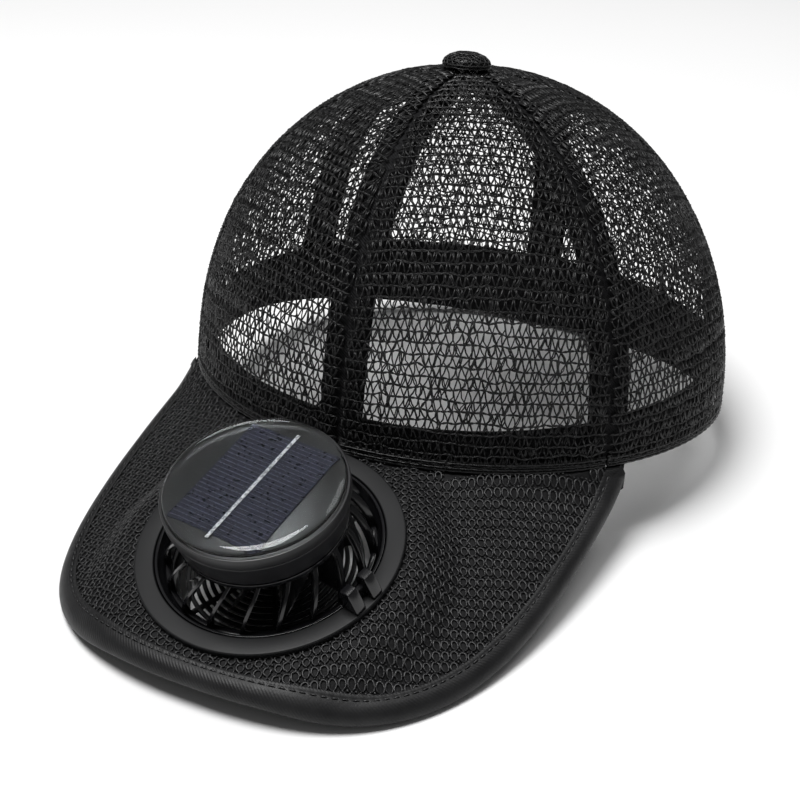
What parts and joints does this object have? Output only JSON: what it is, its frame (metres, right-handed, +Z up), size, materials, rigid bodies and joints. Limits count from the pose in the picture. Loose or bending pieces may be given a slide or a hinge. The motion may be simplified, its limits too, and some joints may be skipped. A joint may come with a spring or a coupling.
{
  "type": "solar fan hat",
  "caption": "Peaked cap of knitted net with a sweatband and, set in its brim, a fan under a round solar cell that blows air through the brim onto the wearer's face.",
  "frame": {"origin": "bottom centre of the bounding box, on the floor that the hat rests on", "axes": "+Z up from the floor, -Y forwards along the brim, +X towards the wearer's left"},
  "size_m": [0.1892, 0.2666, 0.1331],
  "materials": {
    "net": "black polyester knitted net, open holes",
    "tape": "black woven polyester tape",
    "brim_net": "black knitted net over a stiff board",
    "satin": "black satin bias tape",
    "dull_plastic": "moulded black plastic, fine satin grain",
    "shiny_plastic": "moulded black plastic, polished",
    "tray": "dark brown backing sheet",
    "cell": "navy blue silicon with thin grid lines",
    "silver": "bright speckled conductor strip",
    "clear": "clear domed resin"
  },
  "bodies": {
    "hat": {"crown_panel_1": "net", "crown_panel_2": "net", "crown_panel_3": "net", "crown_panel_4": "net", "crown_panel_5": "net", "crown_panel_6": "net", "seam_tape_1": "tape", "seam_tape_2": "tape", "seam_tape_3": "tape", "seam_tape_4": "tape", "seam_tape_5": "tape", "seam_tape_6": "tape", "sweatband": "tape", "top_button": "net", "brim_board": "brim_net", "brim_binding": "satin", "fan_flange": "dull_plastic", "fan_bowl": "shiny_plastic", "fan_cage": "shiny_plastic", "fan_guard": "dull_plastic", "flange_latch": "shiny_plastic", "solar_drum": "dull_plastic", "solar_tray": "tray", "solar_cell": "cell", "solar_busbar": "silver", "solar_cover": "clear"},
    "impeller": {"fan_impeller": "shiny_plastic"}
  },
  "joints": [
    {"name": "impeller_spin", "type": "hinge", "parent": "hat", "child": "impeller", "pos_m": [0, -0.08612, 0.02351], "axis": [0, -0.2543, 0.9671], "continuous": true}
  ]
}
